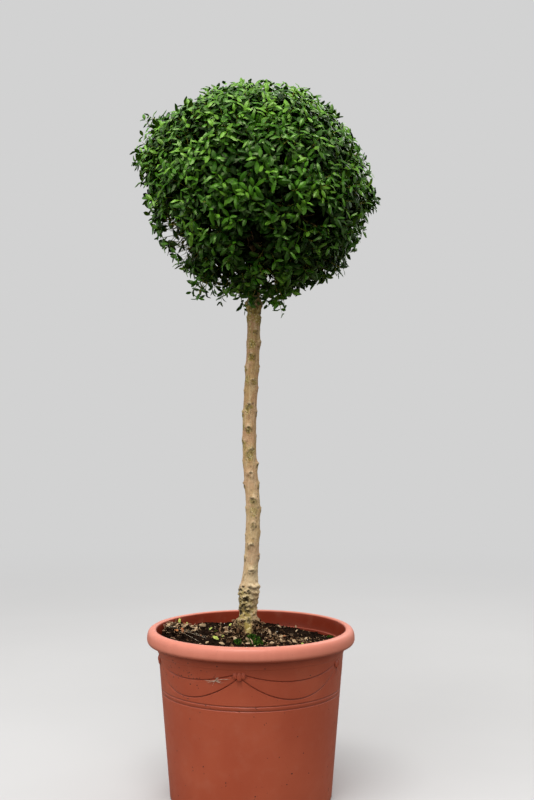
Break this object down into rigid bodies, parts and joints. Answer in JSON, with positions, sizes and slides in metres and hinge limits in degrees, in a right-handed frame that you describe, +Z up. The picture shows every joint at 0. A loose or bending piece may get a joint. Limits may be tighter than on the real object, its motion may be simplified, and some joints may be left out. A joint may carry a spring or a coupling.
{
  "type": "standard box ball topiary in a plastic pot",
  "caption": "Clipped box ball on a bare stem, in a round terracotta-coloured plastic pot with a rolled rim and swags in relief. It stands on the pot's flat underside.",
  "frame": {"origin": "centre of the pot's flat underside", "axes": "+Z up along the stem, -Y towards the front, +X to the right seen from the front"},
  "size_m": [0.4703, 0.4372, 1.3726],
  "materials": {
    "pot_plastic": "smooth terracotta-coloured plastic, a little dusty",
    "soil": "moist potting soil with bark chips",
    "bark": "pale tan bark with pruned stubs and green algae",
    "foliage": "glossy dark green leaves"
  },
  "bodies": {
    "root": {"pot": "pot_plastic", "soil": "soil", "stem": "bark", "bough_upper_1": "bark", "bough_upper_2": "bark", "bough_upper_3": "bark", "bough_upper_4": "bark", "bough_lower_1": "bark", "bough_lower_2": "bark", "bough_lower_3": "bark", "bough_lower_4": "bark", "crown_top": "foliage", "crown_upper_1": "foliage", "crown_upper_2": "foliage", "crown_upper_3": "foliage", "crown_upper_4": "foliage", "crown_lower_1": "foliage", "crown_lower_2": "foliage", "crown_lower_3": "foliage", "crown_lower_4": "foliage"}
  },
  "joints": []
}
